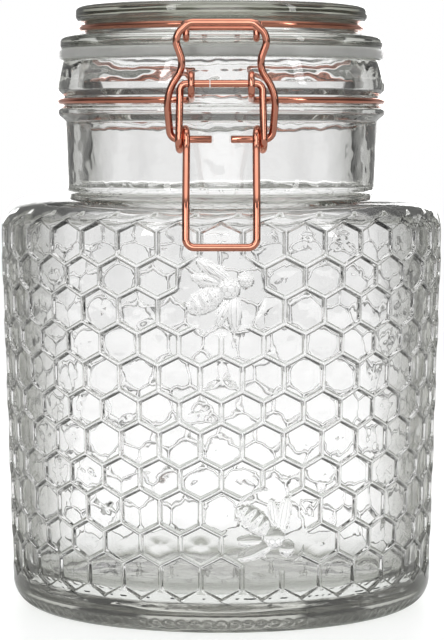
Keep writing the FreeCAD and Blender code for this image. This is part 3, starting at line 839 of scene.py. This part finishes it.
def floor_piece():
    """A round pale table top that fades into the white background."""
    edge = ring(AROUND_FLOOR, FLOOR_RADIUS, -FLOOR_SINK)
    material, link, add, output = new_material("pale_table")
    paint = add("ShaderNodeBsdfPrincipled")
    paint.inputs["Base Color"].default_value = FLOOR_COLOUR
    paint.inputs["Roughness"].default_value = 0.6
    path = add("ShaderNodeLightPath")
    either = add("ShaderNodeMath", operation="MAXIMUM")
    share = add("ShaderNodeMath", operation="MULTIPLY")
    share.inputs[1].default_value = FLOOR_LIFT
    glow = add("ShaderNodeEmission")
    both = add("ShaderNodeAddShader")
    link(path.outputs["Is Camera Ray"], either.inputs[0])
    link(path.outputs["Is Transmission Ray"], either.inputs[1])
    link(either.outputs[0], share.inputs[0])
    link(share.outputs[0], glow.inputs["Strength"])
    link(paint.outputs[0], both.inputs[0])
    link(glow.outputs[0], both.inputs[1])
    place = add("ShaderNodeTexCoord")
    reach = add("ShaderNodeVectorMath", operation="LENGTH")
    fade = add("ShaderNodeMapRange", interpolation_type="SMOOTHSTEP")
    fade.inputs["From Min"].default_value = FADE_START
    fade.inputs["From Max"].default_value = FADE_END
    far = add("ShaderNodeMath", operation="MULTIPLY")
    white = add("ShaderNodeEmission", Strength=1.0)
    blend = add("ShaderNodeMixShader")
    link(place.outputs["Object"], reach.inputs[0])
    link(reach.outputs["Value"], fade.inputs["Value"])
    link(fade.outputs["Result"], far.inputs[0])
    link(either.outputs[0], far.inputs[1])
    link(far.outputs[0], blend.inputs[0])
    link(both.outputs[0], blend.inputs[1])
    link(white.outputs[0], blend.inputs[2])
    link(blend.outputs[0], output.inputs["Surface"])
    floor = mesh_piece("floor", edge, [tuple(range(len(edge)))], material)


# Name, place, point aimed at, width, height and power of each lamp.
LAMPS = (
    ("top_softbox", (0.0, -0.1, 1.3), (0, 0, 0), 1.2, 1.2, 4),
    ("left_strip", (-0.75, -0.95, 0.55), (0, 0, 0.1), 0.16, 0.8, 2.6),
    ("right_strip", (0.95, -0.65, 0.5), (0, 0, 0.1), 0.12, 0.8, 1.8),
    ("rear_strip", (0.5, 1.1, 0.6), (0, 0, 0.1), 0.14, 0.8, 1.6),
)
LENS = 151.9
EYE = (0.0002, -0.846, 0.1481)
LOOKING_DOWN = 4.03
BOUNCES = 24
GLOSSY_BOUNCES = 12


def soft_light(name, place, aim, width, height, power):
    """A softbox at a place, aimed at a point; the camera sees it only in reflections."""
    data = bpy.data.lights.new(name, "AREA")
    data.shape = "RECTANGLE"
    data.size, data.size_y = width, height
    data.energy = power
    lamp = bpy.data.objects.new(name, data)
    bpy.context.collection.objects.link(lamp)
    lamp.location = place
    lamp.rotation_euler = (Vector(aim) - Vector(place)).to_track_quat("-Z", "Y").to_euler()
    lamp.visible_camera = False
    lamp.visible_transmission = False


def camera():
    """The long lens of a product photograph, a little above the lid's height."""
    data = bpy.data.cameras.new("camera")
    data.lens = LENS
    data.clip_start, data.clip_end = 0.05, 30
    eye = bpy.data.objects.new("camera", data)
    bpy.context.collection.objects.link(eye)
    eye.location = EYE
    eye.rotation_euler = (math.radians(90 - LOOKING_DOWN), 0, 0)
    bpy.context.scene.camera = eye


def main():
    """Builds the pieces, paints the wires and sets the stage."""
    inner = BODY_RADIUS - WALL
    jar_piece(glass_material("pressed_glass", CLEAR_GLASS, JAR_RIPPLE, JAR_DENSITY, inner))
    lid_piece(glass_material("lid_glass_clear", LID_GLASS, LID_RIPPLE, LID_DENSITY))
    gasket_piece(silicone_material())
    copper = copper_material()
    bail_piece(copper)
    for node in ("neck_wire", "lid_wire", "lever_wire"):
        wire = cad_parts[node]
        for slot in wire.material_slots:
            slot.material = copper
    studio_world()
    floor_piece()
    for lamp in LAMPS:
        soft_light(*lamp)
    camera()
    scene = bpy.context.scene
    scene.view_settings.view_transform = "Standard"
    scene.cycles.max_bounces = BOUNCES
    scene.cycles.transmission_bounces = BOUNCES
    scene.cycles.glossy_bounces = GLOSSY_BOUNCES
    scene.cycles.transparent_max_bounces = BOUNCES
    scene.cycles.caustics_refractive = False
    scene.cycles.caustics_reflective = False


main()
